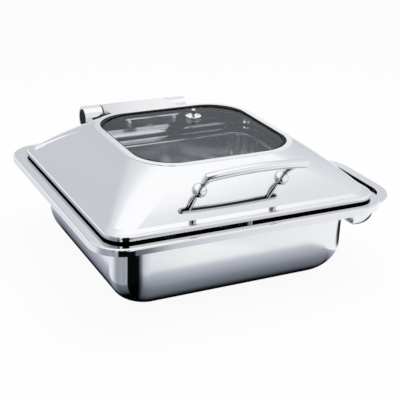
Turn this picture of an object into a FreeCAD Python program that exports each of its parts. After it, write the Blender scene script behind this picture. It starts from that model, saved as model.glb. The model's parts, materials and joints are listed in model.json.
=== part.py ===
import FreeCAD, Part
import math
import os
import re
import Sketcher
from FreeCAD import Placement, Rotation, Vector

# A countertop chafing dish: a water pan that stands on a flat heating base, a food pan hung in it,
# a damped lid with a framed window and a steam vent, and a spoon rest under the rim.
# Millimetres, +Z up, +X to the right seen from the handle, origin at the centre of the base's underside.

SIZES = {
    # sheets and clearances
    "steel_gauge": 0.8,
    "lid_gauge": 1.0,
    "fit_gap": 0.1,
    "running_gap": 0.05,
    "seat_gap": 0.1,
    "free_gap": 0.3,
    # heating base under the water pan
    "cap_thickness": 0.6,
    "cap_wall": 0.8,
    "core_thickness": 4.0,
    "core_length": 236.0,
    "core_width": 207.0,
    "core_corner": 42.0,
    # water pan, its broad rim and its turned-down skirt
    "body_length": 350.0,
    "body_width": 324.0,
    "body_corner": 40.0,
    "body_draft": 1.0,
    "body_round": 51.0,
    "floor_corner": 16.0,
    "pan_height": 122.2,
    "mouth_round": 5.0,
    "rim_left": 216.0,
    "rim_right": 210.0,
    "rim_front": 202.0,
    "rim_back": 212.0,
    "rim_corner": 46.0,
    "rim_round": 3.0,
    "skirt_depth": 9.8,
    # food pan
    "food_length": 372.0,
    "food_width": 343.0,
    "food_corner": 42.0,
    "food_flange": 22.0,
    "food_depth": 65.0,
    "food_draft": 5.0,
    "food_round": 14.0,
    "food_mouth_round": 4.0,
    # lid shell, from its rolled lip up to the window frame
    "lid_gap": 3.2,
    "lip_length": 395.0,
    "lip_width": 374.0,
    "lip_corner": 30.0,
    "lip_height": 7.0,
    "lip_wall": 1.8,
    "lip_round": 3.4,
    "hem_width": 5.0,
    "hem_thickness": 2.0,
    "ledge_step": 3.5,
    "ledge_inset": 9.3,
    "ledge_rise": 3.3,
    "lid_rise": 62.5,
    "slope_bulge": 2.3,
    "frame_step": 1.2,
    "frame_round": 1.0,
    "frame_width": 8.9,
    "window_length": 229.0,
    "window_width": 226.0,
    "window_corner": 56.0,
    "window_shift": 2.8,
    # window seal, glass and the pressed ring that holds them
    "seal_lip": 2.2,
    "seal_lip_thickness": 1.2,
    "seal_foot_thickness": 1.5,
    "seal_hidden": 6.0,
    "seal_corner": 63.0,
    "glass_hidden": 2.0,
    "glass_thickness": 4.0,
    "retainer_wall": 0.8,
    "retainer_lip": 1.6,
    # steam vent in the glass
    "vent_across": 34.0,
    "vent_along": 70.0,
    "vent_radius": 12.0,
    "vent_rim_height": 2.2,
    "vent_recess_radius": 9.0,
    "vent_floor": 0.8,
    "vent_stem_radius": 7.0,
    "vent_stem_wall": 1.5,
    "vent_hole_gap": 0.4,
    "vent_pin_radius": 1.5,
    "vent_disc_thickness": 0.8,
    "vent_post_radius": 2.0,
    "vent_post_rise": 2.5,
    "vent_knob_radius": 3.4,
    "vent_knob_height": 7.5,
    "vent_knob_round": 1.2,
    "steam_hole_radius": 1.4,
    "steam_hole_place": 3.7,
    "vent_seal_thickness": 1.0,
    "vent_nut_height": 3.5,
    "vent_nut_flats": 20.0,
    "vent_clip_radius": 3.0,
    "vent_clip_thickness": 0.6,
    # handle on the front slope
    "handle_half_span": 60.6,
    "bar_half_span": 75.0,
    "bar_radius": 6.0,
    "bar_end_round": 5.4,
    "bar_arch_rise": 9.5,
    "handle_height": 61.0,
    "handle_lean": 9.4,
    "leg_foot_radius": 2.6,
    "leg_waist_radius": 3.0,
    "leg_waist_height": 6.0,
    "leg_knee_radius": 4.3,
    "leg_knee_height": 14.5,
    "leg_neck_radius": 5.2,
    "leg_neck_height": 25.5,
    "leg_neck_lean": 1.5,
    "leg_top_radius": 5.6,
    "rosette_radius": 10.0,
    "rosette_height": 6.5,
    "rosette_round": 5.5,
    "handle_screw_radius": 1.5,
    "handle_screw_head_radius": 4.0,
    "handle_screw_head_height": 2.4,
    "handle_washer_radius": 7.0,
    "handle_washer_thickness": 1.0,
    # lid hinge behind the lid
    "hinge_along": 224.0,
    "hinge_rise": 25.2,
    "barrel_radius": 19.0,
    "barrel_bore_radius": 16.5,
    "leaf_half": 57.0,
    "end_gap": 1.0,
    "collar_length": 13.0,
    "collar_wall": 3.0,
    "knuckle_length": 16.0,
    "leaf_web": 3.0,
    "leaf_flange_thickness": 2.5,
    "leaf_flange_half": 18.0,
    "leaf_flange_corner": 6.0,
    "leaf_stud_across": 37.5,
    "axle_radius": 6.0,
    "bush_length": 12.0,
    "plug_radius": 15.0,
    "plug_length": 4.6,
    "plug_inset": 0.4,
    "plug_edge": 1.0,
    # damper inside the hinge barrel
    "damper_half": 38.0,
    "damper_wall": 3.4,
    "damper_cap_thickness": 3.0,
    "rotor_radius": 9.5,
    "vane_width": 4.0,
    "rib_width": 4.0,
    "rib_angle": 45.0,
    "damper_pin_radius": 2.0,
    # hinge brackets on the back ledge of the rim
    "foot_start": 58.0,
    "foot_end": 100.0,
    "foot_front": 191.0,
    "foot_thickness": 4.2,
    "foot_corner": 2.0,
    "hook_thickness": 2.3,
    "hook_depth": 8.0,
    "web_margin": 3.0,
    "web_front": 197.0,
    "web_back": 211.5,
    "backing_thickness": 2.0,
    "backing_margin": 2.0,
    # screws and nuts of the hinge
    "screw_radius": 2.5,
    "screw_head_radius": 4.2,
    "screw_head_height": 2.8,
    "screw_margin": 8.0,
    "screw_tail": 1.0,
    "nut_flats": 8.0,
    "nut_height": 4.0,
    "cap_nut_dome": 4.0,
    "grub_socket_radius": 1.4,
    "grub_socket_depth": 2.5,
    "grub_inset": 1.0,
    # bumpers between the rim and the lip
    "bumper_radius": 3.5,
    "bumper_stem_radius": 1.8,
    "bumper_bulb_radius": 2.6,
    "bumper_bulb_height": 1.8,
    "front_bumper_across": -3.0,
    "back_bumper_across": 150.0,
    # spoon rest under the right side of the rim
    "tray_gap": 1.0,
    "tray_inner": 177.5,
    "tray_outer": 250.0,
    "tray_along": -74.0,
    "tray_half": 101.0,
    "tray_corner": 60.0,
    "tray_end_corner": 4.0,
    "bowl_corner": 34.0,
    "bowl_floor_corner": 12.0,
    "bowl_end_corner": 4.0,
    "tray_flange": 3.0,
    "bowl_flange": 13.0,
    "bowl_end_flange": 25.0,
    "tray_depth": 46.0,
    "tray_draft": 3.0,
    "tray_round": 18.0,
    "tray_mouth_round": 2.0,
    "hanger_thickness": 1.5,
    "hanger_length": 16.0,
    "hanger_foot_width": 24.0,
    "hanger_weld_width": 19.0,
    "tray_screw_across": 12.0,
    "tray_screw_half_pitch": 88.5,
    "tray_screw_radius": 2.0,
    "tray_screw_head_radius": 2.8,
    "tray_screw_head_height": 2.2,
    "tray_nut_flats": 7.0,
    "tray_nut_height": 3.0,
}

# Levels and lengths that follow from those sizes
PAN_FLOOR = "(cap_thickness + core_thickness)"
RIM_TOP = f"({PAN_FLOOR} + pan_height)"
RIM_UNDER = f"({RIM_TOP} - steel_gauge)"
SKIRT_FOOT = f"({RIM_TOP} - skirt_depth)"
FOOD_REST = f"({RIM_TOP} + seat_gap)"
FOOD_TOP = f"({FOOD_REST} + steel_gauge)"
LIP_FOOT = f"({RIM_TOP} + lid_gap)"
LIP_TOP = f"({LIP_FOOT} + lip_height)"
LEDGE_TOP = f"({LIP_TOP} + ledge_rise)"
FRAME_TOP = f"({LIP_FOOT} + lid_rise)"
FRAME_UNDER = f"({FRAME_TOP} - lid_gauge)"
SLOPE_TOP = f"({FRAME_TOP} - frame_step)"
LEDGE_LENGTH = "(lip_length - 2 * ledge_inset)"
LEDGE_WIDTH = "(lip_width - 2 * ledge_inset)"
FRAME_LENGTH = "(window_length + 2 * frame_width)"
FRAME_WIDTH = "(window_width + 2 * frame_width)"
FRAME_CORNER = "(window_corner + frame_width)"
SLOPE_RUN = f"(({LEDGE_WIDTH} - {FRAME_WIDTH}) / 2)"
SLOPE_ANGLE = f"atan(({SLOPE_TOP} - {LEDGE_TOP}) / {SLOPE_RUN})"
FRONT_ANGLE = f"atan(({SLOPE_TOP} - {LEDGE_TOP}) / ({SLOPE_RUN} + window_shift))"
BACK_ANGLE = f"atan(({SLOPE_TOP} - {LEDGE_TOP}) / ({SLOPE_RUN} - window_shift))"
GLASS_TOP = f"({FRAME_UNDER} - seal_lip_thickness)"
GLASS_UNDER = f"({GLASS_TOP} - glass_thickness)"
SEAL_FOOT = f"({GLASS_UNDER} - seal_foot_thickness)"
HINGE_LEVEL = f"({LIP_FOOT} + hinge_rise)"
KNUCKLE_START = "(leaf_half + end_gap + collar_length)"
KNUCKLE_END = f"({KNUCKLE_START} + knuckle_length)"
KNUCKLE_MIDDLE = f"({KNUCKLE_START} + knuckle_length / 2)"
PLUG_SEAT = f"({KNUCKLE_END} - plug_inset - plug_length)"
TRAY_TOP = f"({SKIRT_FOOT} - tray_gap)"

# Two levels closer than this are one level
SAME_LEVEL = 0.01

doc = FreeCAD.newDocument("chafing_dish")
sheet = doc.addObject("Spreadsheet::Sheet", "sizes")
pieces = []


def fill_sheet():
    for row, (name, number) in enumerate(SIZES.items(), start=1):
        sheet.set(f"A{row}", str(number))
        sheet.setAlias(f"A{row}", name)
    doc.recompute()


def value(text):
    """The number that an expression of size names stands for."""
    result = sheet.evalExpression(text)
    return float(getattr(result, "Value", result))


def bind(thing, place, text):
    """Tie one property of a thing to an expression of size names."""
    def refer(found):
        word = found.group(0)
        return "sizes." + word if word in SIZES else word
    thing.setExpression(place, re.sub(r"[a-z_]+", refer, text))


def new_body(label, across="0", along="0", level="0", axis=Vector(1, 0, 0), angle="0"):
    """Start one piece, whose own frame stands at a place and is turned about an axis."""
    body = doc.addObject("PartDesign::Body", label)
    body.Label = label
    body.AllowCompound = True
    place = Vector(value(across), value(along), value(level))
    body.Placement = Placement(place, Rotation(axis, value(angle)))
    bind(body, "Placement.Base.x", across)
    bind(body, "Placement.Base.y", along)
    bind(body, "Placement.Base.z", level)
    bind(body, "Placement.Rotation.Angle", angle)
    pieces.append(body)
    return body


def new_sketch(body, plane="XY_Plane", out="0", right="0", up="0", axis=Vector(0, 0, 1), angle="0"):
    """A sketch on one of the body's own planes, moved out from it and along it, and turned."""
    sketch = body.newObject("Sketcher::SketchObject", body.Name + "_outline")
    support = next(item for item in body.Origin.OriginFeatures if item.Role == plane)
    sketch.AttachmentSupport = [(support, "")]
    sketch.MapMode = "FlatFace"
    place = Vector(value(right), value(up), value(out))
    sketch.AttachmentOffset = Placement(place, Rotation(axis, value(angle)))
    bind(sketch, "AttachmentOffset.Base.x", right)
    bind(sketch, "AttachmentOffset.Base.y", up)
    bind(sketch, "AttachmentOffset.Base.z", out)
    if angle != "0":
        bind(sketch, "AttachmentOffset.Rotation.Angle", angle)
    return sketch


def hold(sketch, kind, *args, size):
    """One dimension of a sketch, tied to an expression."""
    index = sketch.addConstraint(Sketcher.Constraint(kind, *args, value(size)))
    bind(sketch, f"Constraints[{index}]", size)


def pin_point(sketch, item, point, right, up):
    hold(sketch, "DistanceX", -1, 1, item, point, size=right)
    hold(sketch, "DistanceY", -1, 1, item, point, size=up)


def draw_circles(sketch, radius, centres=(("0", "0"),)):
    for right, up in centres:
        centre = Vector(value(right), value(up), 0)
        item = sketch.addGeometry(Part.Circle(centre, Vector(0, 0, 1), value(radius)))
        pin_point(sketch, item, 3, right, up)
        hold(sketch, "Radius", item, size=radius)
    return sketch


def draw_polygon(sketch, corners):
    points = [Vector(value(right), value(up), 0) for right, up in corners]
    for start, end in zip(points, points[1:] + points[:1]):
        sketch.addGeometry(Part.LineSegment(start, end))
    for item, (right, up) in enumerate(corners):
        sketch.addConstraint(Sketcher.Constraint("Coincident", item, 2, (item + 1) % len(corners), 1))
        pin_point(sketch, item, 1, right, up)
    return sketch


def draw_hexagons(sketch, flats, centres):
    """A hexagon round each centre, two of its sides across the sketch."""
    for right, up in centres:
        first = sketch.GeometryCount
        corners = []
        for turn in range(0, 360, 60):
            reach = f"{flats} / 2 / cos(30)"
            corners.append((f"{right} + {reach} * cos({turn})", f"{up} + {reach} * sin({turn})"))
        points = [Vector(value(a), value(b), 0) for a, b in corners]
        for start, end in zip(points, points[1:] + points[:1]):
            sketch.addGeometry(Part.LineSegment(start, end))
        for side, (a, b) in enumerate(corners):
            after = first + (side + 1) % 6
            sketch.addConstraint(Sketcher.Constraint("Coincident", first + side, 2, after, 1))
            pin_point(sketch, first + side, 1, a, b)
    return sketch


def draw_cornered(sketch, left, right, low, high, radii):
    """A box outline from its four sides, each corner an arc: low left, low right, high right, high left."""
    box = [value(side) for side in (left, right, low, high)]
    round_at = [value(radius) for radius in radii]
    corners = [(box[0], box[2], 1, 1), (box[1], box[2], -1, 1), (box[1], box[3], -1, -1), (box[0], box[3], 1, -1)]
    arcs = []
    for (across, along, toward_x, toward_y), radius, start in zip(corners, round_at, (180, 270, 0, 90)):
        centre = Vector(across + toward_x * radius, along + toward_y * radius, 0)
        circle = Part.Circle(centre, Vector(0, 0, 1), radius)
        arcs.append(Part.ArcOfCircle(circle, math.radians(start), math.radians(start + 90)))
    items = []
    for index, arc in enumerate(arcs):
        after = arcs[(index + 1) % 4]
        items.append(sketch.addGeometry(arc))
        items.append(sketch.addGeometry(Part.LineSegment(arc.EndPoint, after.StartPoint)))
    for index, item in enumerate(items):
        after = items[(index + 1) % 8]
        sketch.addConstraint(Sketcher.Constraint("Tangent", item, 2, after, 1))
    for place, radius in enumerate(radii):
        hold(sketch, "Radius", items[2 * place], size=radius)
    hold(sketch, "DistanceY", -1, 1, items[1], 1, size=low)
    hold(sketch, "DistanceX", -1, 1, items[3], 1, size=right)
    hold(sketch, "DistanceY", -1, 1, items[5], 1, size=high)
    hold(sketch, "DistanceX", -1, 1, items[7], 1, size=left)
    sketch.addConstraint(Sketcher.Constraint("Horizontal", items[1]))
    sketch.addConstraint(Sketcher.Constraint("Vertical", items[3]))
    sketch.addConstraint(Sketcher.Constraint("Horizontal", items[5]))
    sketch.addConstraint(Sketcher.Constraint("Vertical", items[7]))
    return sketch


def draw_rounded(sketch, length, width, corner):
    """A rounded rectangle about the sketch's origin."""
    sides = (f"-({length}) / 2", f"({length}) / 2", f"-({width}) / 2", f"({width}) / 2")
    return draw_cornered(sketch, *sides, [corner] * 4)


def pad(body, sketch, height, both=False):
    feature = body.newObject("PartDesign::Pad", body.Name + "_pad")
    feature.Profile = sketch
    feature.SideType = "Symmetric" if both else "One side"
    bind(feature, "Length", height)
    return feature


def pocket(body, sketch, depth, both=False):
    """Cut towards the sketch's own side, or evenly to both sides of it."""
    feature = body.newObject("PartDesign::Pocket", body.Name + "_pocket")
    feature.Profile = sketch
    feature.Reversed = True
    feature.SideType = "Symmetric" if both else "One side"
    bind(feature, "Length", depth)
    return feature


def loft(body, sketches, cut=False, ruled=False):
    kind = "PartDesign::SubtractiveLoft" if cut else "PartDesign::AdditiveLoft"
    feature = body.newObject(kind, body.Name + "_loft")
    feature.Profile = sketches[0]
    feature.Sections = sketches[1:]
    feature.Ruled = ruled
    return feature


def round_edges(body, radius, at_level):
    """Round every edge that lies flat at a level."""
    doc.recompute()
    base = body.Tip
    level = value(at_level)
    names = []
    for number, edge in enumerate(base.Shape.Edges, start=1):
        box = edge.BoundBox
        if abs(box.ZMin - level) < SAME_LEVEL and abs(box.ZMax - level) < SAME_LEVEL:
            names.append(f"Edge{number}")
    feature = body.newObject("PartDesign::Fillet", body.Name + "_round")
    feature.Base = (base, names)
    bind(feature, "Radius", radius)
    return feature


def round_ends(body, radius):
    """Round the rims of a bar's two ends, the edges that lie furthest from its middle."""
    doc.recompute()
    base = body.Tip
    reach = [abs(edge.CenterOfMass.x) for edge in base.Shape.Edges]
    feature = body.newObject("PartDesign::Fillet", body.Name + "_ends")
    feature.Base = (base, [f"Edge{i}" for i, far in enumerate(reach, start=1) if far > max(reach) - 0.5])
    bind(feature, "Radius", radius)
    return feature


def turned(body, profile, centres=(("0", "0"),)):
    """Turn a profile of radius and height about an upright axis at each centre."""
    for right, along in centres:
        sketch = new_sketch(body, "XZ_Plane", right=right, out=f"-({along})")
        draw_polygon(sketch, profile)
        feature = body.newObject("PartDesign::Revolution", body.Name + "_turn")
        feature.Profile = sketch
        feature.ReferenceAxis = (sketch, ["V_Axis"])
        feature.Angle = 360
    return body


def washer_profile(inner, outer, start, end):
    return [(inner, start), (outer, start), (outer, end), (inner, end)]


def screw_profile(radius, length, head_radius, head_height):
    """A domed head standing on level zero and a shank below it."""
    return [
        ("0", f"-({length})"),
        (radius, f"-({length})"),
        (radius, "0"),
        (head_radius, "0"),
        (head_radius, f"{head_height} / 2"),
        (f"{head_radius} * 0.6", head_height),
        ("0", head_height),
    ]


def draw_side(body, outline, skin, spec, cut):
    """One side of a drawn sheet: mouth rounding, wall and bottom rounding, skin out from the inner face."""
    gauge, mouth, bottom = spec["gauge"], spec["mouth_round"], spec["bottom_round"]
    mouth_sections = []
    for turn in (0, 30, 60, 90):
        reach = f"({mouth} - {skin})"
        inset = f"(-{mouth} + {reach} * sin({turn}))"
        level = f"({spec['top']} - {mouth} + {reach} * cos({turn}))"
        sketch = new_sketch(body, out=level)
        mouth_sections.append(outline(sketch, inset, f"({spec['corner']} - {inset})"))
    floor_sections = []
    for turn in (0, 22.5, 45, 67.5, 90):
        reach = f"({bottom} - {gauge} + {skin})"
        inset = f"({spec['draft']} - {gauge} + {bottom} - {reach} * cos({turn}))"
        level = f"({spec['floor']} + {bottom} - {reach} * sin({turn}))"
        corner = f"({spec['corner']} + {skin} + ({spec['floor_corner']} - {spec['corner']}) * (1 - cos({turn})))"
        sketch = new_sketch(body, out=level)
        floor_sections.append(outline(sketch, inset, corner))
    loft(body, mouth_sections, cut)
    loft(body, [mouth_sections[-1], floor_sections[0]], cut, ruled=True)
    loft(body, floor_sections, cut)


def draw_sheet(body, outline, spec):
    """A drawn sheet wall and floor hung from a flange that is already there."""
    draw_side(body, outline, spec["gauge"], spec, cut=False)
    draw_side(body, outline, "0", spec, cut=True)


def water_pan():
    body = new_body("water_pan")
    rim = ("-rim_left", "rim_right", "-rim_front", "rim_back")
    inner_rim = [f"{side} {sign} steel_gauge" for side, sign in zip(rim, "+-+-")]
    sketch = draw_cornered(new_sketch(body, out=SKIRT_FOOT), *rim, ["rim_corner"] * 4)
    pad(body, sketch, "skirt_depth")
    inner_corners = ["rim_corner - steel_gauge"] * 4
    sketch = draw_cornered(new_sketch(body, out=SKIRT_FOOT), *inner_rim, inner_corners)
    pocket(body, sketch, "skirt_depth - steel_gauge")
    round_edges(body, "rim_round - steel_gauge", RIM_UNDER)
    round_edges(body, "rim_round", RIM_TOP)

    def outline(sketch, inset, corner):
        length = f"body_length - 2 * steel_gauge - 2 * {inset}"
        width = f"body_width - 2 * steel_gauge - 2 * {inset}"
        return draw_rounded(sketch, length, width, corner)

    draw_sheet(body, outline, {
        "gauge": "steel_gauge", "mouth_round": "mouth_round", "bottom_round": "body_round",
        "top": RIM_TOP, "floor": PAN_FLOOR, "draft": "body_draft",
        "corner": "body_corner", "floor_corner": "floor_corner"})
    for radius, centres in (("screw_radius", BRACKET_SCREWS), ("bumper_stem_radius", BUMPERS)):
        sketch = draw_circles(new_sketch(body, out=RIM_UNDER), f"{radius} + fit_gap", centres)
        pocket(body, sketch, "steel_gauge")


def heating_base():
    core = new_body("base_core_plate", level="cap_thickness")
    pad(core, draw_rounded(new_sketch(core), "core_length", "core_width", "core_corner"), "core_thickness")
    cap = new_body("base_cap_plate")
    grow = "cap_wall + fit_gap"
    sketch = draw_rounded(
        new_sketch(cap), f"core_length + 2 * ({grow})", f"core_width + 2 * ({grow})", f"core_corner + {grow}")
    pad(cap, sketch, PAN_FLOOR)
    sketch = draw_rounded(
        new_sketch(cap, out="cap_thickness"),
        "core_length + 2 * fit_gap", "core_width + 2 * fit_gap", "core_corner + fit_gap")
    pocket(cap, sketch, "core_thickness")


def food_pan():
    body = new_body("food_pan")
    sketch = draw_rounded(new_sketch(body, out=FOOD_REST), "food_length", "food_width", "food_corner")
    pad(body, sketch, "steel_gauge")

    def outline(sketch, inset, corner):
        length = f"food_length - 2 * food_flange - 2 * {inset}"
        width = f"food_width - 2 * food_flange - 2 * {inset}"
        return draw_rounded(sketch, length, width, corner)

    draw_sheet(body, outline, {
        "gauge": "steel_gauge", "mouth_round": "food_mouth_round", "bottom_round": "food_round",
        "top": FOOD_TOP, "floor": f"({FOOD_TOP} - food_depth)", "draft": "food_draft",
        "corner": "(food_corner - food_flange / 2)", "floor_corner": "(food_corner - food_flange / 2)"})


def slope_section(body, share, skin):
    """The lid's slope at a share of its rise, swollen in the middle, skin inside the outer face."""
    swell = 4 * share * (1 - share)
    out = f"(slope_bulge * {swell} - {skin})"
    length = f"{LEDGE_LENGTH} + ({FRAME_LENGTH} - {LEDGE_LENGTH}) * {share} + 2 * {out} * sin({SLOPE_ANGLE})"
    width = f"{LEDGE_WIDTH} + ({FRAME_WIDTH} - {LEDGE_WIDTH}) * {share} + 2 * {out} * sin({SLOPE_ANGLE})"
    corner = f"lip_corner + ({FRAME_CORNER} - lip_corner) * {share} - {skin}"
    level = f"{LEDGE_TOP} + ({SLOPE_TOP} - {LEDGE_TOP}) * {share} + {out} * cos({SLOPE_ANGLE})"
    sketch = new_sketch(body, out=level, up=f"window_shift * {share}")
    return draw_rounded(sketch, length, width, corner)


def slope_seat(sign):
    """Where the middle of the front (-1) or back (1) slope lies: its place along Y and its level."""
    swell = f"slope_bulge * sin({SLOPE_ANGLE})"
    along = f"({sign} * (({LEDGE_WIDTH} + {FRAME_WIDTH}) / 4 + {swell}) + window_shift / 2)"
    level = f"(({LEDGE_TOP} + {SLOPE_TOP}) / 2 + slope_bulge * cos({SLOPE_ANGLE}))"
    return along, level


def lid_shell():
    body = new_body("lid_shell")
    shares = (0, 0.25, 0.5, 0.75, 1)
    pad(body, draw_rounded(new_sketch(body, out=LIP_FOOT), "lip_length", "lip_width", "lip_corner"), "lip_height")
    round_edges(body, "lip_round", LIP_TOP)
    start = draw_rounded(
        new_sketch(body, out=LIP_TOP),
        "lip_length - 2 * ledge_step", "lip_width - 2 * ledge_step", "lip_corner - ledge_step")
    outside = [slope_section(body, share, "0") for share in shares]
    loft(body, [start, outside[0]], ruled=True)
    loft(body, outside)
    pad(body, outside[-1], "frame_step")
    round_edges(body, "frame_round", FRAME_TOP)
    hem = draw_rounded(
        new_sketch(body, out=LIP_FOOT),
        "lip_length - 2 * hem_width", "lip_width - 2 * hem_width", "lip_corner - hem_width")
    pocket(body, hem, "hem_thickness")
    channel = draw_rounded(
        new_sketch(body, out=f"{LIP_FOOT} + hem_thickness"),
        "lip_length - 2 * lip_wall", "lip_width - 2 * lip_wall", "lip_corner - lip_wall")
    pocket(body, channel, "lip_height - hem_thickness - lip_wall")
    under_start = draw_rounded(
        new_sketch(body, out=f"{LIP_TOP} - lip_wall"),
        "lip_length - 2 * ledge_step", "lip_width - 2 * ledge_step", "lip_corner - ledge_step")
    inside = [slope_section(body, share, "lid_gauge") for share in shares]
    loft(body, [under_start, inside[0]], cut=True, ruled=True)
    loft(body, inside, cut=True)
    pocket(body, inside[-1], f"frame_step - lid_gauge + lid_gauge * cos({SLOPE_ANGLE})")
    opening = draw_rounded(
        new_sketch(body, out=FRAME_UNDER, up="window_shift"), "window_length", "window_width", "window_corner")
    pocket(body, opening, "lid_gauge")
    for sign, angle, across, radius in (
            (-1, FRONT_ANGLE, "handle_half_span", "handle_screw_radius"),
            (1, f"-{BACK_ANGLE}", "leaf_stud_across", "screw_radius")):
        along, level = slope_seat(sign)
        sketch = new_sketch(body, up=along, out=level, axis=Vector(1, 0, 0), angle=angle)
        draw_circles(sketch, f"{radius} + fit_gap", ((f"-{across}", "0"), (across, "0")))
        pocket(body, sketch, "6 * lid_gauge", both=True)


def window_ring(body, level, height, margin, corner, cut=False):
    """Add or cut a slab whose outline is the window opening grown by a margin."""
    sketch = new_sketch(body, out=level, up="window_shift")
    draw_rounded(sketch, f"window_length + 2 * ({margin})", f"window_width + 2 * ({margin})", corner)
    return pocket(body, sketch, height) if cut else pad(body, sketch, height)


def window():
    seal = new_body("window_gasket")
    seal_height = f"({FRAME_UNDER} - {SEAL_FOOT})"
    window_ring(seal, SEAL_FOOT, seal_height, "seal_hidden", "window_corner + seal_hidden")
    window_ring(seal, SEAL_FOOT, seal_height, "-seal_lip", "seal_corner", cut=True)
    slot_corner = "window_corner + glass_hidden"
    window_ring(seal, GLASS_UNDER, "glass_thickness", "glass_hidden", slot_corner, cut=True)
    glass = new_body("window_glass")
    window_ring(glass, GLASS_UNDER, "glass_thickness", "glass_hidden - fit_gap", f"{slot_corner} - fit_gap")
    hole = new_sketch(glass, out=GLASS_UNDER)
    draw_circles(hole, "vent_stem_radius + vent_hole_gap", (("vent_across", "vent_along"),))
    pocket(glass, hole, "glass_thickness")
    retainer = new_body("window_retainer")
    inner = "seal_hidden + fit_gap"
    outer = f"{inner} + retainer_wall"
    foot = f"({SEAL_FOOT} - retainer_wall)"
    height = f"({FRAME_UNDER} - {foot})"
    window_ring(retainer, foot, height, outer, f"window_corner + {outer}")
    window_ring(retainer, SEAL_FOOT, seal_height, inner, f"window_corner + {inner}", cut=True)
    window_ring(retainer, foot, "retainer_wall", "-retainer_lip", "seal_corner - fit_gap", cut=True)


def vent_body(label):
    return new_body(label, "vent_across", "vent_along", GLASS_TOP)


def steam_vent():
    bore = "(vent_pin_radius + running_gap)"
    stem_bore = "(vent_stem_radius - vent_stem_wall)"
    nut_top = "(-glass_thickness - vent_seal_thickness)"
    stem_end = f"({nut_top} - vent_nut_height - screw_tail)"
    holes = (("steam_hole_place", "0"), ("-steam_hole_place", "0"))
    ring = turned(vent_body("vent_ring"), [
        (bore, "0"), (stem_bore, "0"), (stem_bore, stem_end), ("vent_stem_radius", stem_end),
        ("vent_stem_radius", "0"), ("vent_radius", "0"), ("vent_radius", "vent_rim_height - vent_floor"),
        ("vent_radius - vent_floor", "vent_rim_height"), ("vent_recess_radius", "vent_rim_height"),
        ("vent_recess_radius", "vent_floor"), (bore, "vent_floor")])
    pocket(ring, draw_circles(new_sketch(ring), "steam_hole_radius", holes), "vent_floor")
    disc = "(vent_floor + free_gap)"
    disc_top = f"({disc} + vent_disc_thickness)"
    clip_top = "(-free_gap)"
    clip_foot = f"({clip_top} - vent_clip_thickness)"
    pin_end = f"({clip_foot} - vent_clip_thickness)"
    knob_foot = f"({disc_top} + vent_post_rise)"
    knob_top = f"({knob_foot} + vent_knob_height)"
    cap = turned(vent_body("vent_cap"), [
        ("0", pin_end), ("vent_pin_radius", pin_end), ("vent_pin_radius", disc),
        ("vent_recess_radius - free_gap", disc), ("vent_recess_radius - free_gap", disc_top),
        ("vent_post_radius", disc_top), ("vent_post_radius", knob_foot),
        ("vent_knob_radius", f"{knob_foot} + vent_knob_round"),
        ("vent_knob_radius", f"{knob_top} - vent_knob_round"),
        ("vent_knob_radius - vent_knob_round", knob_top), ("0", knob_top)])
    cross_holes = (("0", "steam_hole_place"), ("0", "-steam_hole_place"))
    pocket(cap, draw_circles(new_sketch(cap, out=disc), "steam_hole_radius", cross_holes), "vent_disc_thickness")
    turned(vent_body("vent_clip"), washer_profile(bore, "vent_clip_radius", clip_foot, clip_top))
    turned(vent_body("vent_gasket"), washer_profile(
        "vent_stem_radius + fit_gap", "vent_radius - vent_floor", nut_top, "-glass_thickness"))
    nut = vent_body("vent_nut")
    sketch = draw_hexagons(
        new_sketch(nut, out=f"{nut_top} - vent_nut_height"), "vent_nut_flats", (("0", "0"),))
    pad(nut, sketch, "vent_nut_height")
    sketch = draw_circles(new_sketch(nut, out=f"{nut_top} - vent_nut_height"), "vent_stem_radius + fit_gap")
    pocket(nut, sketch, "vent_nut_height")


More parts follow.
